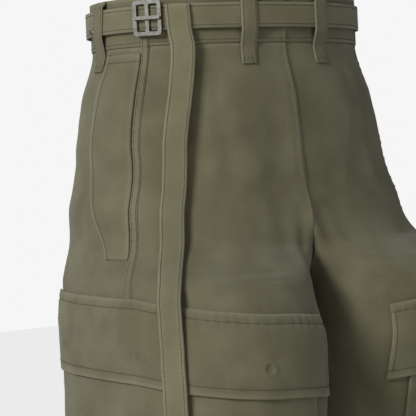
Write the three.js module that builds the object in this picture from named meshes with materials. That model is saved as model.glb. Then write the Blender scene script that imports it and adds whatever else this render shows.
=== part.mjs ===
// Cargo pants, filled out as if worn: hollow cloth shells in millimetres, +Z up, front at -Y,
// the wearer's right at -X, origin at the centre of the waist opening.
import * as THREE from 'three';

// ---------------------------------------------------------------- driving dimensions
const CLOTH = 1.5;          // wall of a body panel
const SEAM_GAP = 0.3;       // between two pieces that are sewn edge to edge
const LAY_GAP = 0.8;        // between a panel and what is sewn on it
const BAND_HEIGHT = 43;     // waistband, top edge to waist seam
const BAND_PROUD = 1.0;     // how far the waistband stands out from the panels
const CROTCH_Z = -253;
const HEM_Z = -1040;
const STRIP_WIDTH = 9;      // outseam strip between its two rows of stitches
const STRIP_WALL = 1.0;
const BELT_WIDTH = 22;
const BELT_WALL = 2.2;
const BELT_Z = -19;         // centre line of the belt
const BELT_OFF = 3.1;       // inside of the belt, from the panel surface
const LOOP_WIDTH = 15;
const LOOP_WALL = 1.3;
const POCKET_WALL = 1.4;

const OLIVE = 0x5f5b48;
const OLIVE_LIGHT = 0x6c6855;
const GUNMETAL = 0x77766f;

// Level sections. out and inn are the half widths outwards and inwards from x, front and back the half
// depths from y (yLeft on the left leg), and power is the superellipse's exponent.
const SECTIONS = [
  { z: 0,     x: 0,      y: 0,   yLeft: 0,   out: 131, inn: 131, front: 91,  back: 102, power: 2.15 },
  { z: -43,   x: 0,      y: 0,   yLeft: 0,   out: 131, inn: 131, front: 91,  back: 103, power: 2.15 },
  { z: -90,   x: 0,      y: -1,  yLeft: -1,  out: 143, inn: 143, front: 102, back: 115, power: 2.2 },
  { z: -140,  x: 0,      y: -3,  yLeft: -3,  out: 151, inn: 151, front: 106, back: 123, power: 2.25 },
  { z: -180,  x: 9,      y: -6,  yLeft: -6,  out: 151, inn: 122, front: 108, back: 125, power: 2.3 },
  { z: -220,  x: 44,     y: -16, yLeft: -16, out: 120, inn: 86,  front: 113, back: 126, power: 2.35 },
  { z: CROTCH_Z, x: 86.15, y: -36, yLeft: -36, out: 92, inn: 86, front: 139, back: 124, power: 2.5 },
  { z: -300,  x: 95,     y: -52, yLeft: -38, out: 94,  inn: 91,  front: 144, back: 121, power: 2.5 },
  { z: -350,  x: 97,     y: -53, yLeft: -26, out: 94,  inn: 94,  front: 144, back: 119, power: 2.5 },
  { z: -420,  x: 100,    y: -52, yLeft: -14, out: 92,  inn: 96,  front: 136, back: 114, power: 2.5 },
  { z: -600,  x: 108,    y: -46, yLeft: -4,  out: 92,  inn: 98,  front: 124, back: 108, power: 2.45 },
  { z: -820,  x: 112,    y: -34, yLeft: 0,   out: 90,  inn: 95,  front: 112, back: 102, power: 2.35 },
  { z: HEM_Z, x: 114,    y: -20, yLeft: 4,   out: 88,  inn: 92,  front: 104, back: 98,  power: 2.3 },
];

// Where the outseam runs: degrees from the middle of the front towards the outer side.
const OUTSEAM = [
  { z: 0, turn: 62 }, { z: -43, turn: 63 }, { z: -130, turn: 65 }, { z: -190, turn: 64 },
  { z: -220, turn: 66 }, { z: CROTCH_Z, turn: 73 }, { z: -300, turn: 72 }, { z: -420, turn: 74 },
  { z: -600, turn: 78 }, { z: -820, turn: 82 }, { z: HEM_Z, turn: 86 },
];

// Heights of the panel rows, shared by everything that lies on the panels.
const ROWS = [0, -22, -BAND_HEIGHT, -62, -85, -110, -135, -160, -180, -200, -216, -230, -241, -248,
  CROTCH_Z, -259, -268, -282, -300, -325, -350, -385, -430, -490, -560, -640, -730, -830, -935, HEM_Z];
const COLUMNS = 9;          // panel columns between two seams

// ---------------------------------------------------------------- the form of the garment
function column(table, key, z) {
  // monotone cubic through the rows of a table
  const last = table.length - 1;
  let i = 0;
  while (i < last - 1 && z < table[i + 1].z) i += 1;
  const rise = (k) => (table[k + 1][key] - table[k][key]) / (table[k + 1].z - table[k].z);
  const slope = (k) => {
    if (k === 0) return rise(0);
    if (k === last) return rise(last - 1);
    const before = rise(k - 1);
    const after = rise(k);
    return before * after <= 0 ? 0 : (2 * before * after) / (before + after);
  };
  const step = table[i + 1].z - table[i].z;
  const t = (z - table[i].z) / step;
  return (2 * t ** 3 - 3 * t ** 2 + 1) * table[i][key] + (t ** 3 - 2 * t ** 2 + t) * step * slope(i)
    + (3 * t ** 2 - 2 * t ** 3) * table[i + 1][key] + (t ** 3 - t ** 2) * step * slope(i + 1);
}

const section = (side, z) => {
  const get = (key) => column(SECTIONS, key, z);
  return {
    x: get('x'), y: side < 0 ? get('y') : get('yLeft'), out: get('out'), inn: get('inn'),
    front: get('front'), back: get('back'), power: get('power'),
  };
};

const signedPower = (value, power) => Math.sign(value) * Math.abs(value) ** power;

// Point of a section. turn: 0 at the front, 90 on the outer side, 180 at the back, -90 inside.
function sectionPoint(side, z, turn, offset) {
  const s = section(side, z);
  const angle = THREE.MathUtils.degToRad(turn);
  const sin = Math.sin(angle);
  const cos = Math.cos(angle);
  const width = sin > 0 ? s.out : s.inn;
  const depth = cos > 0 ? s.front : s.back;
  const normal = new THREE.Vector2(signedPower(sin, 2 - 2 / s.power) / width,
    signedPower(cos, 2 - 2 / s.power) / depth).normalize();
  const x = s.x + width * signedPower(sin, 2 / s.power) + offset * normal.x;
  const y = s.y - depth * signedPower(cos, 2 / s.power) - offset * normal.y;
  return new THREE.Vector3(side * x, y, z);
}

// Turn at which a section meets the rise (above the crotch) or the inseam (below it).
function innerTurn(side, z, atFront) {
  const s = section(side, z);
  const reach = s.x - SEAM_GAP / 2;
  let turn = -90;
  if (z > CROTCH_Z + 0.01 && reach < s.inn) {
    turn = -THREE.MathUtils.radToDeg(Math.asin(signedPower(reach / s.inn, s.power / 2)));
  }
  const depth = atFront ? s.front : s.back;
  const stop = THREE.MathUtils.radToDeg((SEAM_GAP / 2 / depth) ** (s.power / 2));
  turn = Math.max(turn, -90 + stop);
  return atFront ? turn : -180 - turn;
}

// across: -1 at the front rise and inseam, 0 at the outseam, 1 at the back rise and inseam.
function turnAt(side, z, across) {
  const seam = column(OUTSEAM, 'turn', z);
  const end = innerTurn(side, z, across < 0);
  const inner = across < 0 ? end : end + 360;
  return seam + Math.abs(across) * (inner - seam);
}

function acrossAt(side, z, turn) {
  const seam = column(OUTSEAM, 'turn', z);
  if (turn < seam) return (turn - seam) / (seam - innerTurn(side, z, true));
  return (turn - seam) / (innerTurn(side, z, false) + 360 - seam);
}

// Point on the flat-faced skin of the panels, moved out by offset.
function skin(side, z, across, offset) {
  let row = 0;
  while (row < ROWS.length - 2 && z < ROWS[row + 1]) row += 1;
  const down = (z - ROWS[row]) / (ROWS[row + 1] - ROWS[row]);
  const left = Math.min(COLUMNS - 1, Math.max(-COLUMNS, Math.floor(across * COLUMNS + 1e-9)));
  const along = across * COLUMNS - left;
  const corner = (r, c) => {
    const seamSide = c / COLUMNS;
    return sectionPoint(side, ROWS[r], turnAt(side, ROWS[r], seamSide), offset);
  };
  // the same two triangles as the panel's own face
  const start = corner(row, left);
  const far = corner(row + 1, left + 1);
  const near = down >= along ? corner(row + 1, left) : corner(row, left + 1);
  const small = Math.min(down, along);
  const large = Math.max(down, along);
  return start.multiplyScalar(1 - large).addScaledVector(near, large - small).addScaledVector(far, small);
}

// ---------------------------------------------------------------- closed solids
const group = new THREE.Group();

function addPiece(name, positions, faces, colour, roughness, metalness) {
  const geometry = new THREE.BufferGeometry();
  const numbers = positions.flatMap((point) => point.toArray());
  geometry.setAttribute('position', new THREE.Float32BufferAttribute(numbers, 3));
  geometry.setIndex(faces.flat());
  geometry.computeVertexNormals();
  const material = new THREE.MeshStandardMaterial({ color: colour, roughness, metalness });
  const mesh = new THREE.Mesh(geometry, material);
  mesh.name = name;
  group.add(mesh);
}

// A wall between two grids of points, grid[row][column], closed round its edge.
function wall(name, outer, inner, colour = OLIVE, flip = false) {
  const rows = outer.length;
  const columns = outer[0].length;
  const positions = [...outer.flat(), ...inner.flat()];
  const half = rows * columns;
  const at = (r, c) => r * columns + c;
  const faces = [];
  const quad = (a, b, c, d) => faces.push([a, b, c], [a, c, d]);
  for (let r = 0; r < rows - 1; r += 1) {
    for (let c = 0; c < columns - 1; c += 1) {
      quad(at(r, c), at(r + 1, c), at(r + 1, c + 1), at(r, c + 1));
      quad(half + at(r, c), half + at(r, c + 1), half + at(r + 1, c + 1), half + at(r + 1, c));
    }
  }
  for (let c = 0; c < columns - 1; c += 1) {
    quad(at(0, c), at(0, c + 1), half + at(0, c + 1), half + at(0, c));
    quad(at(rows - 1, c + 1), at(rows - 1, c), half + at(rows - 1, c), half + at(rows - 1, c + 1));
  }
  for (let r = 0; r < rows - 1; r += 1) {
    quad(at(r + 1, 0), at(r, 0), half + at(r, 0), half + at(r + 1, 0));
    const end = at(r, columns - 1);
    const next = at(r + 1, columns - 1);
    quad(end, next, half + next, half + end);
  }
  if (!flip) faces.forEach((face) => face.reverse());
  addPiece(name, positions, faces, colour, 0.9, 0);
}

// Rows of the skin between two heights, with the shared rows that lie between them.
const rowsBetween = (top, bottom) => [top, ...ROWS.filter((z) => z < top - 0.5 && z > bottom + 0.5), bottom];

// Panel columns that lie between two places across the skin.
const SLIVER = 0.005;       // narrowest column, across
function sharedColumns(from, to) {
  const columns = [];
  for (let c = -COLUMNS; c <= COLUMNS; c += 1) {
    if (c / COLUMNS > from + SLIVER && c / COLUMNS < to - SLIVER) columns.push(c / COLUMNS);
  }
  return columns;
}

// A layer on the skin of one side, from one edge to another. edge functions give across at a height.
// Both faces follow the shared columns between the edges, held inside the edges at every height.
function layer(name, side, heights, startAt, endAt, outerOff, innerOff, colour) {
  const starts = heights.map(startAt);
  const ends = heights.map(endAt);
  const shared = sharedColumns(Math.min(...starts), Math.max(...ends));
  const grid = (off) => heights.map((z, r) => [
    starts[r],
    ...shared.map((across, k) => THREE.MathUtils.clamp(across,
      starts[r] + (k + 1) * SLIVER, ends[r] - (shared.length - k) * SLIVER)),
    ends[r],
  ].map((across) => skin(side, z, across, typeof off === 'function' ? off(z) : off)));
  wall(name, grid(outerOff), grid(innerOff), colour, side > 0);
}

const sideName = (side) => (side < 0 ? 'right' : 'left');
const proud = (z) => (z > -BAND_HEIGHT - SEAM_GAP - 0.2 ? BAND_PROUD : 0);

// Width of one unit of across at a height, used to turn millimetres into across.
function span(side, z, across) {
  const a = skin(side, z, across - 0.01, 0);
  return skin(side, z, across + 0.01, 0).distanceTo(a) / 0.02;
}

// ---------------------------------------------------------------- panels and waistband
function panels(side) {
  const top = -BAND_HEIGHT - SEAM_GAP;
  const heights = rowsBetween(top, HEM_Z);
  const seamGap = (z, sign) => (sign * SEAM_GAP) / 2 / span(side, z, sign * 0.05);
  const bandRows = [0, ...ROWS.filter((z) => z < 0 && z > -BAND_HEIGHT), -BAND_HEIGHT];
  for (const [word, first, last] of [
    ['front', () => -1, (z) => seamGap(z, -1)], ['back', (z) => seamGap(z, 1), () => 1]]) {
    layer(`${word}_${sideName(side)}`, side, heights, first, last, 0, -CLOTH);
    layer(`waistband_${word}_${sideName(side)}`, side, bandRows, first, last, BAND_PROUD, -CLOTH);
  }
}

// ---------------------------------------------------------------- pieces sewn on the panels
function outseamStrip(side) {
  const heights = [-1, -22, -BAND_HEIGHT, -BAND_HEIGHT - 2, ...rowsBetween(-62, HEM_Z + 1)];
  const edge = (sign) => (z) => (sign * STRIP_WIDTH) / 2 / span(side, z, sign * 0.05);
  const base = (z) => proud(z) + LAY_GAP;
  layer(`outseam_${sideName(side)}`, side, heights, edge(-1), edge(1),
    (z) => base(z) + STRIP_WALL, base, OLIVE_LIGHT);
}

// Free edge of the hip pocket flap behind the outseam, as turns at its heights.
const HIP_FLAP = [
  { z: -49, turn: 88 }, { z: -70, turn: 90.5 }, { z: -110, turn: 92.5 }, { z: -141, turn: 93 },
  { z: -167, turn: 91 }, { z: -192, turn: 87 }, { z: -210, turn: 84.5 }, { z: -227, turn: 83 },
];

function hipFlap(side) {
  const top = HIP_FLAP[0].z;
  const bottom = HIP_FLAP.at(-1).z;
  const start = (z) => (STRIP_WIDTH / 2 + 1.5) / span(side, z, 0.05);
  const end = (z) => acrossAt(side, z, column(HIP_FLAP, 'turn', z));
  layer(`hip_flap_${sideName(side)}`, side, rowsBetween(top, bottom), start, end,
    LAY_GAP + 2, LAY_GAP, OLIVE_LIGHT);
}

// Cargo pocket and its flap, centred on the outseam. front and back are the turns of their edges.
const STRIP_TOP = LAY_GAP + STRIP_WALL;                     // outside of the outseam strip
const POCKET_IN = STRIP_TOP + LAY_GAP;
const FLAP_LIFT = POCKET_WALL + LAY_GAP;                    // how far the flap rises over the pocket
const POCKET = { front: -16, back: 122, top: -293, bottom: -452 };
const FLAP = { front: -28, back: 132, middle: -258, fall: 21, height: 68, wall: 1.8 };

function cargoPocket(side) {
  const edge = (turn) => (z) => acrossAt(side, z, turn);
  layer(`cargo_pocket_${sideName(side)}`, side, rowsBetween(POCKET.top, POCKET.bottom),
    edge(POCKET.front), edge(POCKET.back), POCKET_IN + POCKET_WALL, POCKET_IN);
}

function cargoFlap(side) {
  const from = acrossAt(side, FLAP.middle, FLAP.front);
  const to = acrossAt(side, FLAP.middle, FLAP.back);
  const columns = [from, ...sharedColumns(from, to), to];
  const steps = [0, 0.1, 0.25, 0.5, 0.75, 1];
  const drop = (across) => Math.max(0, -across) * FLAP.fall;
  const rise = (t) => POCKET_IN + FLAP_LIFT * THREE.MathUtils.smoothstep(t, 0, 0.2);
  const grid = (extra) => steps.map((t) => columns
    .map((across) => skin(side, FLAP.middle - drop(across) - t * FLAP.height, across, rise(t) + extra)));
  wall(`cargo_flap_${sideName(side)}`, grid(FLAP.wall), grid(0), OLIVE, side > 0);
}

// ---------------------------------------------------------------- belt, loops and buckle
// Loop centres: turn at the waist, and the lean of the lower end backwards in degrees.
const LOOPS = [
  { name: 'front', turn: 15.8, lean: 0 }, { name: 'side', turn: 90.5, lean: 5 },
  { name: 'back', turn: 138, lean: 0 },
];
// Height and inner offset of a loop down its length.
const LOOP_PROFILE = [
  { z: -1, off: 1.5 }, { z: -5, off: 5.7 }, { z: -33, off: 5.7 }, { z: -43, off: 2.2 },
  { z: -48, off: 0.7 }, { z: -62, off: 0.5 },
];

function beltLoop(name, side, turn, lean) {
  const grid = (extra) => LOOP_PROFILE.map(({ z, off }) => [-1, 0, 1].map((k) => {
    const middle = turn + (lean * z) / LOOP_PROFILE.at(-1).z;
    const radius = sectionPoint(side, z, middle, 0).length();
    const swing = THREE.MathUtils.radToDeg(LOOP_WIDTH / 2 / Math.min(radius, 140));
    return sectionPoint(side, z, middle + k * swing, off + extra);
  }));
  wall(name, grid(LOOP_WALL), grid(0), OLIVE, side > 0);
}

// The belt band runs all round the waist, and its two ends meet behind the buckle.
const BUCKLE_TURN = 60;
const BUCKLE = { width: 26, height: 31, bar: 3.4, depth: 2.6, corner: 4 };
const BELT_PARTS = 48;
const BELT_ENDS = 1;        // degrees between the two ends
const BELT_TOP = BELT_OFF + BELT_WALL;

// turn may be negative here, for the left half of the waist.
function waistPoint(z, turn, offset) {
  const wrapped = ((turn + 540) % 360) - 180;
  return sectionPoint(wrapped > 0 ? -1 : 1, z, Math.abs(wrapped), offset);
}

function beltBand() {
  const grid = (off) => [BELT_WIDTH / 2, -BELT_WIDTH / 2].map((up) => {
    const row = [];
    for (let k = 0; k <= BELT_PARTS; k += 1) {
      const turn = BUCKLE_TURN - BELT_ENDS / 2 - (k * (360 - BELT_ENDS)) / BELT_PARTS;
      row.push(waistPoint(BELT_Z + up, turn, off));
    }
    return row;
  });
  wall('belt_band', grid(BELT_TOP), grid(BELT_OFF), OLIVE_LIGHT, true);
}

// Path of the hanging belt tail: height, turn of its middle, and how far its back stands off.
const TAIL_WIDTH = 21;
const TAIL = [
  { z: -8, turn: 46, off: 5.8 }, { z: -30, turn: 45.4, off: 6.2 }, { z: -46, turn: 44.2, off: 8.5 },
  { z: -73, turn: 44.6, off: 9 }, { z: -110, turn: 46, off: 9 }, { z: -150, turn: 47.2, off: 7.5 },
  { z: -178, turn: 46.3, off: 7 }, { z: -220, turn: 45.8, off: 7 }, { z: -257, turn: 48.6, off: 9.5 },
  { z: -276, turn: 49, off: 9.5 }, { z: -296, turn: 49.3, off: 8.5 }, { z: -332, turn: 48.7, off: 8 },
  { z: -380, turn: 48.5, off: 5.5 },
  { z: -432, turn: 48.5, off: 4.5 },
];

function beltTail() {
  const across = (z, turn, off, k) => {
    const middle = sectionPoint(-1, z, turn, off);
    const tangent = sectionPoint(-1, z, turn + 1, off).sub(sectionPoint(-1, z, turn - 1, off)).normalize();
    return middle.addScaledVector(tangent, (k * TAIL_WIDTH) / 2);
  };
  const grid = (extra) => TAIL.map(({ z, turn, off }) => [-1, 1].map((k) => across(z, turn, off + extra, k)));
  wall('belt_tail', grid(BELT_WALL), grid(0), OLIVE_LIGHT, false);
}

// A rectangle with round corners, as a shape or as a hole.
function roundedRectangle(target, width, height, corner, x = 0) {
  const w = width / 2;
  const h = height / 2;
  target.moveTo(x - w + corner, -h).lineTo(x + w - corner, -h).quadraticCurveTo(x + w, -h, x + w, -h + corner)
    .lineTo(x + w, h - corner).quadraticCurveTo(x + w, h, x + w - corner, h).lineTo(x - w + corner, h)
    .quadraticCurveTo(x - w, h, x - w, h - corner).lineTo(x - w, -h + corner)
    .quadraticCurveTo(x - w, -h, x - w + corner, -h);
  return target;
}

// Stands a mesh on the belt: local x along the belt, y up, z outwards.
function onBelt(name, geometry, turn, z, offset) {
  const origin = sectionPoint(-1, z, turn, offset);
  const along = sectionPoint(-1, z, turn - 1, offset).sub(sectionPoint(-1, z, turn + 1, offset)).normalize();
  const up = new THREE.Vector3(0, 0, 1);
  const mesh = new THREE.Mesh(geometry,
    new THREE.MeshStandardMaterial({ color: GUNMETAL, roughness: 0.35, metalness: 1 }));
  mesh.name = name;
  mesh.matrixAutoUpdate = false;
  mesh.matrix.makeBasis(along, up, new THREE.Vector3().crossVectors(along, up)).setPosition(origin);
  mesh.matrix.decompose(mesh.position, mesh.quaternion, mesh.scale);
  group.add(mesh);
}

function buckle() {
  const { width, height, bar, depth, corner } = BUCKLE;
  const outline = roundedRectangle(new THREE.Shape(), width, height, corner);
  const window = (width - 3 * bar) / 2;
  for (const sign of [-1, 1]) {
    const middle = (sign * (window + bar)) / 2;
    outline.holes.push(roundedRectangle(new THREE.Path(), window, height - 2 * bar, 1.5, middle));
  }
  const frame = new THREE.ExtrudeGeometry(outline, { depth, bevelEnabled: false, curveSegments: 4 });
  const seat = BELT_TOP + SEAM_GAP;
  onBelt('buckle_frame', frame, BUCKLE_TURN, BELT_Z, seat);
  const prong = new THREE.ExtrudeGeometry(roundedRectangle(new THREE.Shape(), width - 1, 3, 1.2),
    { depth: 2, bevelEnabled: false, curveSegments: 4 });
  onBelt('buckle_prong', prong, BUCKLE_TURN, BELT_Z, seat + depth + SEAM_GAP);
}

const RIVET = { turn: 99, z: -26, radius: 3.2, height: 1.4 };

function rivet() {
  const head = new THREE.CylinderGeometry(RIVET.radius * 0.75, RIVET.radius, RIVET.height, 20);
  head.rotateX(Math.PI / 2);
  onBelt('belt_rivet', head, RIVET.turn, RIVET.z, BELT_TOP + SEAM_GAP + RIVET.height / 2);
}

group.name = 'cargo_pants';
for (const side of [-1, 1]) {
  panels(side);
  outseamStrip(side);
  hipFlap(side);
  cargoPocket(side);
  cargoFlap(side);
  for (const { name, turn, lean } of LOOPS) beltLoop(`loop_${name}_${sideName(side)}`, side, turn, lean);
}
beltLoop('loop_centre_back', -1, 180, 0);
beltBand();
beltTail();
buckle();
rivet();

export default group;
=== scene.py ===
"""Cargo pants in washed olive twill, filled out as worn, with a cloth belt and a long hanging tail."""
import math

import bpy
import numpy as np
from mathutils import Matrix, Vector, noise


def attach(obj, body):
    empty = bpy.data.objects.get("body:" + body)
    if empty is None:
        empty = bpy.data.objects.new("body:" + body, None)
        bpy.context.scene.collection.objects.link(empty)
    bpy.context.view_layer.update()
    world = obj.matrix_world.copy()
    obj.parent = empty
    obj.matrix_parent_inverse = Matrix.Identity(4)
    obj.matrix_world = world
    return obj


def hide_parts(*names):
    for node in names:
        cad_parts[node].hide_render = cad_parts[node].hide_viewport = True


bl_info = {
    "name": "Cargo Pants",
    "version": (1, 0, 0),
    "blender": (4, 5, 0),
    "location": "3D View > Sidebar > Pants",
    "description": "Builds a pair of filled-out cargo pants with their belt, stitches and finish",
    "category": "Add Mesh",
}

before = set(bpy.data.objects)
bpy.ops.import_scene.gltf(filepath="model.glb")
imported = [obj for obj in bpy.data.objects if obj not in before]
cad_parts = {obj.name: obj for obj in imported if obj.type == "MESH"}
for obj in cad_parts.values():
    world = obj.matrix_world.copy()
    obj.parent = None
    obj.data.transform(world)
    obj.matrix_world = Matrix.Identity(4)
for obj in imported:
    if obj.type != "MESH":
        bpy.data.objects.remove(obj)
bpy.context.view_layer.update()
MM = 0.001

# ------------------------------------------------------------------ form of the garment, in millimetres
# Each row: height, middle x, middle y of the right leg and of the left leg, half width on the outer and
# on the inner side, depth to the front and to the back, and roundness, where 2 is an ellipse.
SECTIONS = np.array([
    (0, 0, 0, 0, 131, 131, 91, 102, 2.15),
    (-43, 0, 0, 0, 131, 131, 91, 103, 2.15),
    (-90, 0, -1, -1, 143, 143, 102, 115, 2.2),
    (-140, 0, -3, -3, 151, 151, 106, 123, 2.25),
    (-180, 9, -6, -6, 151, 122, 108, 125, 2.3),
    (-220, 44, -16, -16, 120, 86, 113, 126, 2.35),
    (-253, 86.15, -36, -36, 92, 86, 139, 124, 2.5),
    (-300, 95, -52, -38, 94, 91, 144, 121, 2.5),
    (-350, 97, -53, -26, 94, 94, 144, 119, 2.5),
    (-420, 100, -52, -14, 92, 96, 136, 114, 2.5),
    (-600, 108, -46, -4, 92, 98, 124, 108, 2.45),
    (-820, 112, -34, 0, 90, 95, 112, 102, 2.35),
    (-1040, 114, -20, 4, 88, 92, 104, 98, 2.3),
], dtype=float)
# Height and turn of the outseam, and of the free edge of the hip flap.
OUTSEAM = np.array([(0, 62), (-43, 63), (-130, 65), (-190, 64), (-220, 66), (-253, 73), (-300, 72),
                    (-420, 74), (-600, 78), (-820, 82), (-1040, 86)], dtype=float)
HIP_EDGE = np.array([(-49, 88), (-70, 90.5), (-110, 92.5), (-141, 93), (-167, 91), (-192, 87),
                     (-210, 84.5), (-227, 83)], dtype=float)
# Height, turn and distance off the panel of the belt's hanging tail.
TAIL = np.array([(-8, 46, 5.8), (-30, 45.4, 6.2), (-46, 44.2, 8.5), (-73, 44.6, 9), (-110, 46, 9),
                 (-150, 47.2, 7.5), (-178, 46.3, 7), (-220, 45.8, 7), (-257, 48.6, 9.5), (-276, 49, 9.5),
                 (-296, 49.3, 8.5), (-332, 48.7, 8), (-380, 48.5, 5.5), (-432, 48.5, 4.5)], dtype=float)
CROTCH = -253.0
HEM = -1040.0
BAND = 43.0                # height of the waistband
BAND_PROUD = 1.0           # how far the waistband stands out from the panels
BAND_STEP = 3.0
PANEL_COLUMNS = 84
CLOTH = 1.5
SEAM = 0.3                 # between two pieces sewn edge to edge
LAY = 0.8                  # between a panel and what is sewn on it
ARC = 2.3                  # round the body for one degree of turn, about

STRIP = 9.0                # width of the outseam strip
STRIP_WALL = 1.1
STRIP_STEP = 1.6
HIP_TOP, HIP_BOTTOM = -49, -227
HIP_WALL = 2.0

POCKET_IN = 2.6            # from the panel to the inside of the cargo pocket
POCKET_TOP, POCKET_BOTTOM = -293, -452
POCKET_FRONT, POCKET_BACK = -16.0, 122.0
POCKET_WALL = 1.2
PLEATS = (48.0, 92.0)      # turns of the two pleats

FLAP_TOP = -258.0
FLAP_FALL = 21.0           # how far the front corner hangs below the back one
FLAP_LEVEL = 70            # turn behind which the flap's top is level
FLAP_HEIGHT = 68.0
FLAP_FRONT, FLAP_BACK = -28, 132
FLAP_WALL = 1.8
STUDS = (6.5, 66.0, 108.0)  # turns of the studs that press through the flap
STUD_DOWN = 0.64           # their place as a share of the flap's height
STUD_ARC = 2.25            # round the body for one degree of turn at the flap
STUD_RING, STUD_DISH = 5.4, 4.2

BELT_Z = -19.0
BELT_IN = 3.1
BELT_WALL = 2.2
BELT_HALF = 11             # half the belt's width
BELT_GROOVE = 8.6          # from the belt's middle to its stitched groove
BUCKLE_TURN = 60
BELT_END = 0.5             # degrees from the buckle's middle to either end of the belt
TAIL_HALF = 10.5

LOOP_WALL = 1.3
LOOP_HALF = 7.5
LOOPS = (("front", 15.8, 0), ("side", 90.5, 5), ("back", 138, 0))  # name, turn, lean in degrees
LOOP_PROFILE = np.array([(-1, 1.5), (-5, 5.7), (-33, 5.7), (-43, 2.2), (-48, 0.7), (-62, 0.5)], dtype=float)


def cubic(table, key, z):
    """Monotone cubic through the rows of a table, for an array of heights."""
    x = -table[:, 0]
    v = table[:, key]
    rise = np.diff(v) / np.diff(x)
    slope = np.zeros(len(v))
    slope[0], slope[-1] = rise[0], rise[-1]
    both = rise[:-1] * rise[1:]
    total = rise[:-1] + rise[1:]
    slope[1:-1] = np.where(both > 0, 2 * both / np.where(total == 0, 1, total), 0)
    at = -np.asarray(z, dtype=float)
    i = np.clip(np.searchsorted(x, at, side="right") - 1, 0, len(x) - 2)
    step = x[i + 1] - x[i]
    t = (at - x[i]) / step
    return ((2 * t**3 - 3 * t**2 + 1) * v[i] + (t**3 - 2 * t**2 + t) * step * slope[i]
            + (3 * t**2 - 2 * t**3) * v[i + 1] + (t**3 - t**2) * step * slope[i + 1])


def signed_power(value, power):
    return np.sign(value) * np.abs(value) ** power


def skin(side, z, turn, offset=0.0):
    """Points of the garment in metres. turn is 0 at the front and 90 on the outer side."""
    z = np.asarray(z, dtype=float)
    x, y, out, inn, front, back, power = (
        cubic(SECTIONS, key, z) for key in (1, 2 if side < 0 else 3, 4, 5, 6, 7, 8))
    angle = np.radians(turn)
    sin, cos = np.sin(angle), np.cos(angle)
    width = np.where(sin > 0, out, inn)
    depth = np.where(cos > 0, front, back)
    nx = signed_power(sin, 2 - 2 / power) / width
    ny = signed_power(cos, 2 - 2 / power) / depth
    length = np.hypot(nx, ny)
    px = x + width * signed_power(sin, 2 / power) + offset * nx / length
    py = y - depth * signed_power(cos, 2 / power) - offset * ny / length
    return np.stack([side * px, py, z + 0 * px], axis=-1) * MM


def outseam(z):
    return cubic(OUTSEAM, 1, z)


def inner_turn(z, at_front):
    """Turn at which a section meets the rise above the crotch and the inseam below it."""
    x, inn, power = (cubic(SECTIONS, key, z) for key in (1, 5, 8))
    depth = cubic(SECTIONS, 6 if at_front else 7, z)
    ratio = np.clip((x - SEAM / 2) / inn, -1, 1)
    turn = np.where(z > CROTCH, -np.degrees(np.arcsin(signed_power(ratio, power / 2))), -90)
    stop = np.degrees((SEAM / 2 / depth) ** (power / 2))
    turn = np.maximum(turn, -90 + stop)
    return turn if at_front else 180 - turn


# ------------------------------------------------------------------ creases
# Each fold runs from (z, turn) to (z, turn); width and depth in millimetres, a trough when depth < 0.
FRONT_FOLDS = [
    (-60, 60, -210, 66, 7, -1.8), (-75, 34, -230, 36, 10, 1.6), (-60, 30, -150, 26, 9, -1.5),
    (-120, 22, -245, 2, 10, 2.2), (-150, 14, -246, -14, 8, -2.4), (-175, 6, -250, -34, 8, 2.6),
    (-190, 0, -255, -50, 6, -2.8), (-90, 8, -190, 12, 12, -1.4), (-205, 40, -250, 12, 9, -1.8),
    (-215, 58, -252, 42, 8, 2.0), (-235, 62, -236, 24, 6, -1.6), (-100, 50, -190, 54, 8, 1.4),
    (-345, -36, -440, 6, 12, 2.2), (-352, 20, -470, -30, 14, -2.6), (-470, 60, -560, -10, 16, 3.4),
    (-520, 40, -610, -40, 15, -3.2), (-600, 66, -680, 6, 16, 3.0), (-700, 30, -770, -60, 18, -3.2),
    (-820, 70, -880, -5, 18, 3.6), (-905, 10, -960, -70, 17, -3.4), (-975, 76, -1010, 0, 13, 3.0),
]
BACK_FOLDS = [
    (-52, 98, -215, 97, 6, -1.5), (-70, 120, -220, 128, 11, 2.0), (-90, 150, -240, 172, 12, -2.2),
    (-170, 170, -250, 205, 9, 2.6), (-200, 150, -262, 196, 9, -2.8), (-232, 140, -285, 214, 8, 3.0),
    (-262, 120, -330, 210, 10, -2.6), (-118, 118, -140, 150, 9, -1.4), (-350, 150, -430, 236, 14, 2.6),
    (-440, 110, -520, 190, 16, -3.2), (-505, 100, -590, 200, 17, 3.8), (-590, 120, -640, 240, 15, -3.6),
    (-660, 96, -735, 180, 18, 3.2), (-770, 120, -850, 230, 17, -3.4), (-890, 100, -945, 210, 18, 3.6),
    (-985, 96, -1012, 190, 12, -2.6),
]


def folds(z, turn, table):
    """Height of the creases over the cloth, in millimetres."""
    total = np.zeros_like(z)
    for k, (z0, t0, z1, t1, width, depth) in enumerate(table):
        ax, ay = (t1 - t0) * ARC, z1 - z0
        px, py = (turn - t0) * ARC, z - z0
        length = math.hypot(ax, ay)
        along = (px * ax + py * ay) / length
        bow = 0.06 * length * np.sin(np.pi * np.clip(along / length, 0, 1)) * (1 if k % 2 else -1)
        off = (px * ay - py * ax) / length - bow
        s = np.clip(along / length, 0, 1)
        fade = np.sin(np.pi * np.clip(0.06 + 0.9 * s, 0, 1)) ** 0.8
        past = np.maximum(0, -along) + np.maximum(0, along - length)
        total += depth * fade * np.exp(-(off / width) ** 2 - (past / width) ** 2)
    return total


def rough(points, scale, seed):
    """Smooth random values between about -1 and 1, the same in every run."""
    flat = points.reshape(-1, 3) / MM / scale
    values = [noise.noise(Vector((p[0] + seed, p[1], p[2]))) for p in flat]
    return np.array(values).reshape(points.shape[:-1])


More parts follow.
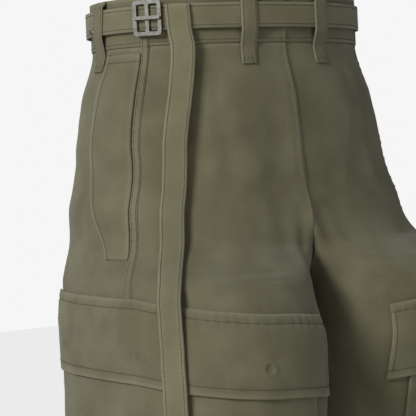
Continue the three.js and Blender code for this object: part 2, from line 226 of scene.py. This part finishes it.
def surface(side, z, turn, base, table):
    """Skin points with creases and a soft unevenness, moved out by base."""
    start = skin(side, z, turn)
    swell = folds(z, turn, table) if table else 0
    soft = rough(start, 46, 3.1 * side) * 0.9 + rough(start, 17, 9.7) * 0.35
    seam_distance = np.abs(turn - outseam(z)) * ARC
    ripple = np.sin(z / 1.25 + 2.4 * rough(start, 25, 5.0)) * np.exp(-(seam_distance / 5.5) ** 2) * 0.42
    fly = 0.0
    if side < 0:
        reach = (turn - inner_turn(z, True)) * ARC
        fly = 1.5 * np.exp(-(reach / 9) ** 2) - 0.5 * np.exp(-((reach - 3.2) / 0.9) ** 2)
        fly = fly * np.clip((z + 212) / 14, 0, 1) * (turn < outseam(z))
    calm = np.clip((-z - 45) / 12, 0, 1) * np.clip((z - HEM) / 8, 0, 1)
    return skin(side, z, turn, base + calm * (swell + soft) + calm * ripple + fly)


# ------------------------------------------------------------------ meshes
def new_object(name, vertices, faces, uvs=None, wear=None):
    mesh = bpy.data.meshes.new(name)
    mesh.from_pydata(np.asarray(vertices).tolist(), [], faces)
    if uvs is not None:
        layer = mesh.uv_layers.new(name="cloth")
        loops = np.zeros(len(mesh.loops), dtype=np.int32)
        mesh.loops.foreach_get("vertex_index", loops)
        layer.data.foreach_set("uv", np.asarray(uvs)[loops].ravel())
    if wear is not None:
        mesh.attributes.new("wear", "FLOAT", "POINT").data.foreach_set("value", np.asarray(wear).ravel())
    mesh.shade_smooth()
    mesh.update()
    obj = bpy.data.objects.new(name, mesh)
    bpy.context.scene.collection.objects.link(obj)
    return obj


def edge_wear(points, reach=3.0):
    """1 at the edges of a grid of points and 0 further in, by distance in millimetres."""
    rows = np.concatenate([[0], np.cumsum(np.linalg.norm(np.diff(points[:, 0], axis=0), axis=-1))]) / MM
    across = np.concatenate([np.zeros((len(points), 1)),
                             np.cumsum(np.linalg.norm(np.diff(points, axis=1), axis=-1), axis=1)], 1) / MM
    down = np.minimum(rows, rows[-1] - rows)[:, None]
    side = np.minimum(across, across[:, -1:] - across)
    return np.exp(-(np.minimum(down + 0 * side, side) / reach) ** 2), across, rows


def cloth(name, points, thickness, material, nodes, flip):
    """A shell of cloth on a grid of points, its walls turned inwards."""
    rows, columns = points.shape[:2]
    edge, across, down = edge_wear(points)
    uvs = np.stack([across * MM, np.repeat(down[:, None], columns, 1) * MM], -1).reshape(-1, 2)
    index = np.arange(rows * columns).reshape(rows, columns)
    quads = np.stack([index[:-1, :-1], index[1:, :-1], index[1:, 1:], index[:-1, 1:]], -1).reshape(-1, 4)
    if flip:
        quads = quads[:, ::-1]
    obj = new_object(name, points.reshape(-1, 3), quads.tolist(), uvs, edge)
    solid = obj.modifiers.new("wall", "SOLIDIFY")
    solid.thickness = thickness * MM
    solid.offset = -1.0
    obj.data.materials.append(material)
    area = sum(face.area for face in obj.data.polygons)
    wide, tall = float(across[:, -1].max()) * MM, float(down[-1]) * MM
    wide, tall = max(wide, area / tall), max(tall, area / wide)
    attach(obj, "root")
    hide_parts(*nodes)
    return obj


def grid(z_values, starts, ends, columns):
    z = np.repeat(np.asarray(z_values, dtype=float)[:, None], columns, 1)
    t = np.linspace(0, 1, columns)[None, :]
    return z, np.asarray(starts)[:, None] * (1 - t) + np.asarray(ends)[:, None] * t


def heights(top, bottom, step):
    return np.linspace(top, bottom, max(2, int(round((top - bottom) / step)) + 1))


# ------------------------------------------------------------------ materials
def node(tree, kind, **values):
    made = tree.nodes.new(kind)
    for key, value in values.items():
        setattr(made, key, value)
    return made


def twill_group():
    """Node group: diagonal twill lines, wash mottling and worn edges as height, mask and value."""
    old = bpy.data.node_groups.get("washed_twill")
    if old:
        return old
    group = bpy.data.node_groups.new("washed_twill", "ShaderNodeTree")
    face = group.interface
    for label, default in (("Lines per metre", 900.0), ("Mottle size", 26.0), ("Wear", 0.5)):
        face.new_socket(label, in_out="INPUT", socket_type="NodeSocketFloat").default_value = default
    for label, default in (("Colour", (0.1, 0.1, 0.06, 1)), ("Worn colour", (0.2, 0.2, 0.15, 1))):
        face.new_socket(label, in_out="INPUT", socket_type="NodeSocketColor").default_value = default
    face.new_socket("Colour", in_out="OUTPUT", socket_type="NodeSocketColor")
    face.new_socket("Height", in_out="OUTPUT", socket_type="NodeSocketFloat")
    inlet, outlet = node(group, "NodeGroupInput"), node(group, "NodeGroupOutput")
    uv = node(group, "ShaderNodeUVMap", uv_map="cloth")
    coords = node(group, "ShaderNodeTexCoord")
    turn = node(group, "ShaderNodeVectorRotate", rotation_type="Z_AXIS")
    turn.inputs["Angle"].default_value = math.radians(63)
    scaled = node(group, "ShaderNodeVectorMath", operation="SCALE")
    wave = node(group, "ShaderNodeTexWave", wave_type="BANDS")
    wave.inputs["Scale"].default_value = 1.0
    wave.inputs["Distortion"].default_value = 1.2
    cloudy = node(group, "ShaderNodeTexNoise")
    cloudy.inputs["Detail"].default_value = 5.0
    grainy = node(group, "ShaderNodeTexNoise")
    grainy.inputs["Scale"].default_value = 900.0
    wear = node(group, "ShaderNodeAttribute", attribute_name="wear")
    worn = node(group, "ShaderNodeMath", operation="MULTIPLY")
    spread = node(group, "ShaderNodeMapRange")
    spread.inputs["From Min"].default_value = 0.32
    spread.inputs["From Max"].default_value = 0.68
    spread.inputs["To Min"].default_value = -0.14
    spread.inputs["To Max"].default_value = 0.2
    total = node(group, "ShaderNodeMath", operation="ADD", use_clamp=True)
    speck = node(group, "ShaderNodeMath", operation="MULTIPLY_ADD")
    speck.inputs[1].default_value = 0.25
    mix = node(group, "ShaderNodeMix", data_type="RGBA")
    rise = node(group, "ShaderNodeMath", operation="ADD")
    link = group.links.new
    link(uv.outputs[0], turn.inputs["Vector"])
    link(turn.outputs[0], scaled.inputs[0])
    link(inlet.outputs["Lines per metre"], scaled.inputs["Scale"])
    link(scaled.outputs[0], wave.inputs["Vector"])
    link(coords.outputs["Object"], cloudy.inputs["Vector"])
    link(inlet.outputs["Mottle size"], cloudy.inputs["Scale"])
    link(coords.outputs["Object"], grainy.inputs["Vector"])
    link(wear.outputs["Fac"], worn.inputs[0])
    link(inlet.outputs["Wear"], worn.inputs[1])
    link(cloudy.outputs["Fac"], spread.inputs["Value"])
    link(grainy.outputs["Fac"], speck.inputs[0])
    link(spread.outputs[0], speck.inputs[2])
    link(worn.outputs[0], total.inputs[0])
    link(speck.outputs[0], total.inputs[1])
    link(total.outputs[0], mix.inputs["Factor"])
    link(inlet.outputs["Colour"], mix.inputs["A"])
    link(inlet.outputs["Worn colour"], mix.inputs["B"])
    link(wave.outputs["Fac"], rise.inputs[0])
    link(grainy.outputs["Fac"], rise.inputs[1])
    link(mix.outputs["Result"], outlet.inputs["Colour"])
    link(rise.outputs[0], outlet.inputs["Height"])
    return group


def cloth_material(name, colour, worn, wear):
    material = bpy.data.materials.new(name)
    material.use_nodes = True
    tree = material.node_tree
    shader = tree.nodes["Principled BSDF"]
    shader.inputs["Roughness"].default_value = 0.92
    shader.inputs["Sheen Weight"].default_value = 0.12
    shader.inputs["Specular IOR Level"].default_value = 0.2
    effect = node(tree, "ShaderNodeGroup", node_tree=twill_group())
    effect.inputs["Lines per metre"].default_value = 5200.0
    effect.inputs["Mottle size"].default_value = 26.0
    effect.inputs["Wear"].default_value = wear
    effect.inputs["Colour"].default_value = (*colour, 1)
    effect.inputs["Worn colour"].default_value = (*worn, 1)
    bump = node(tree, "ShaderNodeBump")
    bump.inputs["Strength"].default_value = 0.35
    bump.inputs["Distance"].default_value = 0.0003
    tree.links.new(effect.outputs["Colour"], shader.inputs["Base Color"])
    tree.links.new(effect.outputs["Height"], bump.inputs["Height"])
    tree.links.new(bump.outputs[0], shader.inputs["Normal"])
    return material


# Thread for the stitches. The caller gives it darker than the cloth as painted shade of the needle holes;
# the thread itself is tone on tone.
def stitch_hole_shade_thread_material(colour):
    material = bpy.data.materials.new("thread")
    material.use_nodes = True
    tree = material.node_tree
    shader = tree.nodes["Principled BSDF"]
    shader.inputs["Roughness"].default_value = 0.75
    coords = node(tree, "ShaderNodeTexCoord")
    cloudy = node(tree, "ShaderNodeTexNoise")
    cloudy.inputs["Scale"].default_value = 240.0
    ramp = node(tree, "ShaderNodeValToRGB")
    ramp.color_ramp.elements[0].color = (*[0.75 * c for c in colour], 1)
    ramp.color_ramp.elements[1].color = (*[1.3 * c for c in colour], 1)
    tree.links.new(coords.outputs["Object"], cloudy.inputs["Vector"])
    tree.links.new(cloudy.outputs["Fac"], ramp.inputs["Fac"])
    tree.links.new(ramp.outputs["Color"], shader.inputs["Base Color"])
    return material


def metal_material():
    material = bpy.data.materials.new("gunmetal")
    material.use_nodes = True
    tree = material.node_tree
    shader = tree.nodes["Principled BSDF"]
    shader.inputs["Metallic"].default_value = 1.0
    coords = node(tree, "ShaderNodeTexCoord")
    cloudy = node(tree, "ShaderNodeTexNoise")
    cloudy.inputs["Scale"].default_value = 300.0
    cloudy.inputs["Detail"].default_value = 6.0
    ramp = node(tree, "ShaderNodeValToRGB")
    ramp.color_ramp.elements[0].color = (0.05, 0.05, 0.047, 1)
    ramp.color_ramp.elements[1].color = (0.17, 0.17, 0.155, 1)
    rough_range = node(tree, "ShaderNodeMapRange")
    rough_range.inputs["To Min"].default_value = 0.25
    rough_range.inputs["To Max"].default_value = 0.5
    link = tree.links.new
    link(coords.outputs["Object"], cloudy.inputs["Vector"])
    link(cloudy.outputs["Fac"], ramp.inputs["Fac"])
    link(cloudy.outputs["Fac"], rough_range.inputs["Value"])
    link(ramp.outputs["Color"], shader.inputs["Base Color"])
    link(rough_range.outputs[0], shader.inputs["Roughness"])
    return material


# ------------------------------------------------------------------ stitches by Geometry Nodes
def stitch_tree():
    """Instances one short thread on each step of the edges it is given."""
    tree = bpy.data.node_groups.new("stitch_rows", "GeometryNodeTree")
    face = tree.interface
    face.new_socket("Geometry", in_out="INPUT", socket_type="NodeSocketGeometry")
    for label, default in (("Pitch", 0.0032), ("Length", 0.0024), ("Radius", 0.00045)):
        face.new_socket(label, in_out="INPUT", socket_type="NodeSocketFloat").default_value = default
    face.new_socket("Thread", in_out="INPUT", socket_type="NodeSocketMaterial")
    face.new_socket("Geometry", in_out="OUTPUT", socket_type="NodeSocketGeometry")
    inlet, outlet = node(tree, "NodeGroupInput"), node(tree, "NodeGroupOutput")
    curve = node(tree, "GeometryNodeMeshToCurve")
    even = node(tree, "GeometryNodeResampleCurve", mode="LENGTH")
    tangent = node(tree, "GeometryNodeInputTangent")
    align = node(tree, "FunctionNodeAlignRotationToVector", axis="Z")
    thread = node(tree, "GeometryNodeMeshCylinder")
    thread.inputs["Vertices"].default_value = 5
    place = node(tree, "GeometryNodeInstanceOnPoints")
    real = node(tree, "GeometryNodeRealizeInstances")
    paint = node(tree, "GeometryNodeSetMaterial")
    link = tree.links.new
    link(inlet.outputs["Geometry"], curve.inputs["Mesh"])
    link(curve.outputs[0], even.inputs["Curve"])
    link(inlet.outputs["Pitch"], even.inputs["Length"])
    link(tangent.outputs[0], align.inputs["Vector"])
    link(inlet.outputs["Radius"], thread.inputs["Radius"])
    link(inlet.outputs["Length"], thread.inputs["Depth"])
    link(even.outputs[0], place.inputs["Points"])
    link(thread.outputs["Mesh"], place.inputs["Instance"])
    link(align.outputs[0], place.inputs["Rotation"])
    link(place.outputs[0], real.inputs[0])
    link(real.outputs[0], paint.inputs["Geometry"])
    link(inlet.outputs["Thread"], paint.inputs["Material"])
    link(paint.outputs[0], outlet.inputs[0])
    return tree


def stitch_rows(name, paths, material):
    """Turns open paths of points into rows of stitches, one plain mesh."""
    vertices, edges = [], []
    for path in paths:
        first = len(vertices)
        vertices += [tuple(p) for p in path]
        edges += [(first + k, first + k + 1) for k in range(len(path) - 1)]
    mesh = bpy.data.meshes.new(name)
    mesh.from_pydata(vertices, edges, [])
    carrier = bpy.data.objects.new(name + "_paths", mesh)
    bpy.context.scene.collection.objects.link(carrier)
    modifier = carrier.modifiers.new("stitches", "NODES")
    tree = bpy.data.node_groups.get("stitch_rows") or stitch_tree()
    modifier.node_group = tree
    socket = next(item for item in tree.interface.items_tree if item.name == "Thread")
    modifier[socket.identifier] = material
    evaluated = carrier.evaluated_get(bpy.context.evaluated_depsgraph_get())
    result = bpy.data.meshes.new_from_object(evaluated)
    bpy.data.objects.remove(carrier)
    result.shade_smooth()
    obj = bpy.data.objects.new(name, result)
    bpy.context.scene.collection.objects.link(obj)
    if not result.materials:
        result.materials.append(material)
    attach(obj, "root")


MADE = {}
ROWS_OF_THREAD = []


def side_word(side):
    return "right" if side < 0 else "left"


class PantsSettings(bpy.types.PropertyGroup):
    """Sizes and colours of the pants."""

    cloth_colour: bpy.props.FloatVectorProperty(
        name="Cloth", description="Colour of the washed twill", subtype="COLOR", size=3,
        default=(0.094, 0.087, 0.049))
    worn_colour: bpy.props.FloatVectorProperty(
        name="Worn cloth", description="Colour where the wash has paled the twill", subtype="COLOR", size=3,
        default=(0.205, 0.195, 0.125))
    grid_step: bpy.props.FloatProperty(
        name="Cloth grid", description="Spacing of the cloth grid in millimetres", default=3.8, min=2.0)


class PANTS_OT_materials(bpy.types.Operator):
    """Make the cloth, thread and metal materials; the thread is darkened below the cloth as painted shade of
    the stitch holes
    """

    bl_idname = "pants.materials"
    bl_label = "Materials"

    def execute(self, context):
        settings = context.scene.pants
        cloth_colour, worn = tuple(settings.cloth_colour), tuple(settings.worn_colour)
        MADE["cloth"] = cloth_material("cloth", cloth_colour, worn, 0.35)
        MADE["belt"] = cloth_material("belt_cloth", tuple(1.25 * c for c in cloth_colour), worn, 0.4)
        # painted shade: thread at 0.62 of the cloth colour so the stitches show as the shade in their holes
        MADE["thread"] = stitch_hole_shade_thread_material(tuple(0.62 * c for c in cloth_colour))
        MADE["metal"] = metal_material()
        return {"FINISHED"}


class PANTS_OT_panels(bpy.types.Operator):
    """Front and back panels and the waistband, a shell for each"""

    bl_idname = "pants.panels"
    bl_label = "Panels and waistband"

    def execute(self, context):
        step = context.scene.pants.grid_step
        for side in (-1, 1):
            for word in ("front", "back"):
                front = word == "front"
                for part, top, bottom, base, rows in (
                        ("", -BAND - SEAM, HEM, 0.0, heights(-BAND - SEAM, HEM, step)),
                        ("waistband_", 0.0, -BAND, BAND_PROUD, heights(0.0, -BAND, BAND_STEP))):
                    if not part:
                        rows = np.unique(np.append(rows, [CROTCH, CROTCH + 1, CROTCH + 3]))[::-1]
                    gap = SEAM / 2 / ARC
                    seam = outseam(rows)
                    inner = inner_turn(rows, front)
                    starts, ends = (inner, seam - gap) if front else (seam + gap, inner)
                    z, turn = grid(rows, starts, ends, PANEL_COLUMNS)
                    points = surface(side, z, turn, base, FRONT_FOLDS + BACK_FOLDS)
                    name = f"{part}{word}_{side_word(side)}"
                    cloth(f"{name}_cloth", points, CLOTH + base, MADE["cloth"], [name], side < 0)
                    ROWS_OF_THREAD.append(points[-2 if part else -4])
        return {"FINISHED"}


class PANTS_OT_pockets(bpy.types.Operator):
    """Outseam strips, hip flaps, cargo pockets and their flaps"""

    bl_idname = "pants.pockets"
    bl_label = "Pockets and seams"

    def execute(self, context):
        table = FRONT_FOLDS + BACK_FOLDS
        for side in (-1, 1):
            word = side_word(side)
            rows = np.concatenate([heights(-1, -BAND, STRIP_STEP), heights(-BAND - 2, HEM + 1, STRIP_STEP)])
            seam, half = outseam(rows), STRIP / 2 / ARC
            z, turn = grid(rows, seam - half, seam + half, 7)
            proud = np.clip((z + BAND + 1.5) / 1.5, 0, 1)
            bow = 0.5 * np.cos(np.linspace(-1.4, 1.4, 7))[None, :]
            points = surface(side, z, turn, LAY + proud + bow, table)
            cloth(f"outseam_{word}_cloth", points, STRIP_WALL, MADE["cloth"], [f"outseam_{word}"], side < 0)
            ROWS_OF_THREAD.extend([points[:, 1], points[:, 5]])

            rows = heights(HIP_TOP, HIP_BOTTOM, 3.5)
            start = outseam(rows) + (STRIP / 2 + 1.5) / ARC
            z, turn = grid(rows, start, cubic(HIP_EDGE, 1, rows), 22)
            points = surface(side, z, turn, HIP_WALL, table)
            cloth(f"hip_flap_{word}_cloth", points, HIP_WALL, MADE["cloth"], [f"hip_flap_{word}"], side < 0)
            ROWS_OF_THREAD.extend([points[:, -3], points[2]])

            rows = heights(POCKET_TOP, POCKET_BOTTOM, 4)
            z, turn = grid(rows, np.full(len(rows), POCKET_FRONT), np.full(len(rows), POCKET_BACK), 70)
            pleat = sum(np.exp(-((turn - middle) * ARC / 2.2) ** 2) for middle in PLEATS)
            points = surface(side, z, turn, POCKET_IN + 0.2 - 1.2 * pleat, table)
            name = f"cargo_pocket_{word}"
            cloth(f"{name}_cloth", points, POCKET_WALL, MADE["cloth"], [name], side < 0)
            ROWS_OF_THREAD.append(points[-3])

            self.flap(side, word)
        return {"FINISHED"}

    def flap(self, side, word):
        t, s = np.meshgrid(np.linspace(0, 1, 46), np.linspace(0, 1, 200), indexing="ij")
        turn = FLAP_FRONT + (FLAP_BACK - FLAP_FRONT) * s
        drop = np.clip((FLAP_LEVEL - turn) / (FLAP_LEVEL - FLAP_FRONT), 0, 1) * FLAP_FALL
        z = FLAP_TOP - drop - t * FLAP_HEIGHT
        lift = 2.1 + 3.1 * np.sin(np.clip(t / 0.45, 0, 1) * np.pi / 2)
        base = surface(side, z, turn, 0, None) / MM
        scallop = np.abs(np.sin(s * 108)) * np.exp(-((t - 0.09) / 0.09) ** 2) * 0.7
        groove = -0.9 * np.exp(-((t - 0.115) / 0.02) ** 2) - 0.6 * np.exp(-((t - 0.87) / 0.02) ** 2)
        studs = 0
        for middle in STUDS:
            r = np.hypot((turn - middle) * STUD_ARC, (t - STUD_DOWN) * FLAP_HEIGHT)
            studs = studs + 1.0 * np.exp(-((r - STUD_RING) / 1.1) ** 2) - 0.7 * np.exp(-(r / STUD_DISH) ** 4)
        wave = 0.8 * rough(base * MM, 38, 2.0) + 0.5 * rough(base * MM, 14, 7.0)
        points = surface(side, z, turn, lift + scallop + groove + studs + wave, None)
        cloth(f"cargo_flap_{word}_cloth", points, FLAP_WALL, MADE["cloth"], [f"cargo_flap_{word}"], side < 0)
        ROWS_OF_THREAD.extend([points[5], points[-6], points[5:-5, 3], points[5:-5, -4]])


class PANTS_OT_belt(bpy.types.Operator):
    """Belt, hanging tail, loops and buckle"""

    bl_idname = "pants.belt"
    bl_label = "Belt and loops"

    def execute(self, context):
        turns = np.linspace(BUCKLE_TURN - BELT_END, BUCKLE_TURN + BELT_END - 360, 240)
        wrapped = (turns + 540) % 360 - 180
        rows = BELT_Z + np.linspace(BELT_HALF, -BELT_HALF, 9)
        points = np.zeros((len(rows), len(turns), 3))
        for k, z in enumerate(rows):
            off = BELT_IN + BELT_WALL - 0.25 * np.exp(-((abs(z - BELT_Z) - BELT_GROOVE) / 0.8) ** 2)
            for m, turn in enumerate(wrapped):
                points[k, m] = skin(-1 if turn > 0 else 1, z, abs(turn), off)
        cloth("belt_band_cloth", points, BELT_WALL, MADE["belt"], ["belt_band"], False)
        ROWS_OF_THREAD.extend([points[1], points[-2]])
        self.tail()
        for side in (-1, 1):
            for name, turn, lean in LOOPS:
                self.loop(f"loop_{name}_{side_word(side)}", side, turn, lean)
        self.loop("loop_centre_back", -1, 180, 0)
        for name in ("buckle_frame", "buckle_prong", "belt_rivet"):
            metal_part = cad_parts[name]
            metal_part.data.materials.clear()
            metal_part.data.materials.append(MADE["metal"])
        return {"FINISHED"}

    def tail(self):
        rows = heights(TAIL[0, 0], TAIL[-1, 0], 3.5)
        turn = cubic(TAIL, 1, rows)
        off = cubic(TAIL, 2, rows) + BELT_WALL
        centre = skin(-1, rows, turn, off)
        tangent = skin(-1, rows, turn + 1, off) - skin(-1, rows, turn - 1, off)
        tangent /= np.linalg.norm(tangent, axis=-1)[:, None]
        normal = skin(-1, rows, turn, off + 1) - centre
        across = np.linspace(-1, 1, 11)
        points = centre[:, None] + tangent[:, None] * (across * TAIL_HALF * MM)[None, :, None]
        ridge = -0.35 * np.exp(-((np.abs(across) - 0.78) / 0.09) ** 2)
        ripple = 0.25 * np.sin(rows / 4.2)[:, None] * (np.abs(across) ** 2)[None, :]
        points = points + normal[:, None] * (ridge[None, :] + ripple)[..., None]
        cloth("belt_tail_cloth", points, BELT_WALL, MADE["belt"], ["belt_tail"], True)
        ROWS_OF_THREAD.extend([points[:, 1], points[:, -2]])

    def loop(self, name, side, turn, lean):
        top, bottom = LOOP_PROFILE[0, 0], LOOP_PROFILE[-1, 0]
        rows = heights(top, bottom, 2.2)
        off = np.interp(-rows, -LOOP_PROFILE[:, 0], LOOP_PROFILE[:, 1]) + LOOP_WALL
        middle = turn + lean * rows / bottom
        arc = np.linalg.norm(skin(side, rows, middle + 1) - skin(side, rows, middle - 1), axis=-1) / MM / 2
        swing = LOOP_HALF / arc
        z, turns = grid(rows, middle - swing, middle + swing, 9)
        points = skin(side, z, turns, off[:, None] + 0.15 * np.cos(np.linspace(-3, 3, 9))[None, :])
        cloth(f"{name}_cloth", points, LOOP_WALL, MADE["cloth"], [name], side < 0)
        ROWS_OF_THREAD.extend([points[:, 1], points[:, -2]])
        for row in (-2, -3):
            ROWS_OF_THREAD.append(points[row, 1:-1])


class PANTS_OT_stitches(bpy.types.Operator):
    """Rows of stitches along the seams, made as one mesh"""

    bl_idname = "pants.stitches"
    bl_label = "Stitches"

    def execute(self, context):
        stitch_rows("stitches", ROWS_OF_THREAD, MADE["thread"])
        return {"FINISHED"}


class PANTS_OT_stage(bpy.types.Operator):
    """Camera, pale floor and soft studio light"""

    bl_idname = "pants.stage"
    bl_label = "Stage"

    def execute(self, context):
        scene = context.scene
        azimuth, distance, eye = math.radians(-35), 1.5, -0.128
        aside, downward = 0.0167, 0.0429
        back = Vector((math.sin(azimuth), -math.cos(azimuth), 0))
        right = Vector((math.cos(azimuth), math.sin(azimuth), 0))
        forward = (-back - right * aside - Vector((0, 0, downward))).normalized()
        roll = math.radians(2.7)
        level = forward.cross(Vector((0, 0, 1))).normalized()
        upright = level.cross(forward)
        up = upright * math.cos(roll) + level * math.sin(roll)
        data = bpy.data.cameras.new("camera")
        data.lens, data.sensor_width = 137.0, 36.0
        camera = bpy.data.objects.new("camera", data)
        turned = Matrix((forward.cross(up), up, -forward)).transposed().to_4x4()
        camera.matrix_world = Matrix.Translation(back * distance + Vector((0, 0, eye))) @ turned
        scene.collection.objects.link(camera)
        scene.camera = camera

        floor_z = HEM * MM - 0.012
        floor = new_object("floor", [(-6, -6, floor_z), (6, -6, floor_z), (6, 6, floor_z), (-6, 6, floor_z)],
                           [(0, 1, 2, 3)])
        paint = bpy.data.materials.new("floor_paint")
        paint.use_nodes = True
        floor_tree = paint.node_tree
        floor_tree.nodes["Principled BSDF"].inputs["Base Color"].default_value = (0.85, 0.85, 0.85, 1)
        glow = node(floor_tree, "ShaderNodeEmission")
        glow.inputs["Color"].default_value = (0.92, 0.92, 0.92, 1)
        seen = node(floor_tree, "ShaderNodeLightPath")
        share = node(floor_tree, "ShaderNodeMath", operation="MULTIPLY")
        share.inputs[1].default_value = 0.85
        blend = node(floor_tree, "ShaderNodeMixShader")
        floor_tree.links.new(seen.outputs["Is Camera Ray"], share.inputs[0])
        floor_tree.links.new(share.outputs[0], blend.inputs[0])
        floor_tree.links.new(floor_tree.nodes["Principled BSDF"].outputs[0], blend.inputs[1])
        floor_tree.links.new(glow.outputs[0], blend.inputs[2])
        floor_tree.links.new(blend.outputs[0], floor_tree.nodes["Material Output"].inputs[0])
        floor.data.materials.append(paint)
        for name, place, size, power in (
                ("key", (-2.3, -0.75, 1.0), 0.8, 66.0), ("fill", (0.6, -2.4, 0.5), 1.8, 5.0),
                ("rim", (0.4, 2.2, 1.5), 1.4, 22.0)):
            light = bpy.data.lights.new(name, "AREA")
            light.size, light.energy = size, power
            lamp = bpy.data.objects.new(name, light)
            aim = Vector((0, 0, -0.3)) - Vector(place)
            lamp.matrix_world = Matrix.Translation(place) @ aim.to_track_quat("-Z", "Y").to_matrix().to_4x4()
            scene.collection.objects.link(lamp)
        world = bpy.data.worlds.new("studio")
        scene.world = world
        world.use_nodes = True
        tree = world.node_tree
        backdrop = tree.nodes["Background"]
        ray = node(tree, "ShaderNodeLightPath")
        shade = node(tree, "ShaderNodeMix", data_type="RGBA")
        shade.inputs["A"].default_value = (0.35, 0.35, 0.34, 1)
        shade.inputs["B"].default_value = (0.92, 0.92, 0.92, 1)
        tree.links.new(ray.outputs["Is Camera Ray"], shade.inputs["Factor"])
        tree.links.new(shade.outputs["Result"], backdrop.inputs["Color"])
        scene.view_settings.view_transform = "Standard"
        return {"FINISHED"}


class PANTS_PT_panel(bpy.types.Panel):
    """Buttons that build the pants"""

    bl_label = "Cargo Pants"
    bl_idname = "PANTS_PT_panel"
    bl_space_type = "VIEW_3D"
    bl_region_type = "UI"
    bl_category = "Pants"

    def draw(self, context):
        settings = context.scene.pants
        for key in ("cloth_colour", "worn_colour", "grid_step"):
            self.layout.prop(settings, key)
        for operator in OPERATORS:
            self.layout.operator(operator.bl_idname)


OPERATORS = (PANTS_OT_materials, PANTS_OT_panels, PANTS_OT_pockets, PANTS_OT_belt, PANTS_OT_stitches,
             PANTS_OT_stage)
CLASSES = (PantsSettings, *OPERATORS, PANTS_PT_panel)


def register():
    for item in CLASSES:
        bpy.utils.register_class(item)
    bpy.types.Scene.pants = bpy.props.PointerProperty(type=PantsSettings)


def unregister():
    del bpy.types.Scene.pants
    for item in reversed(CLASSES):
        bpy.utils.unregister_class(item)


def main():
    register()
    for operator in OPERATORS:
        group, name = operator.bl_idname.split(".")
        getattr(getattr(bpy.ops, group), name)()


if __name__ == "__main__":
    main()
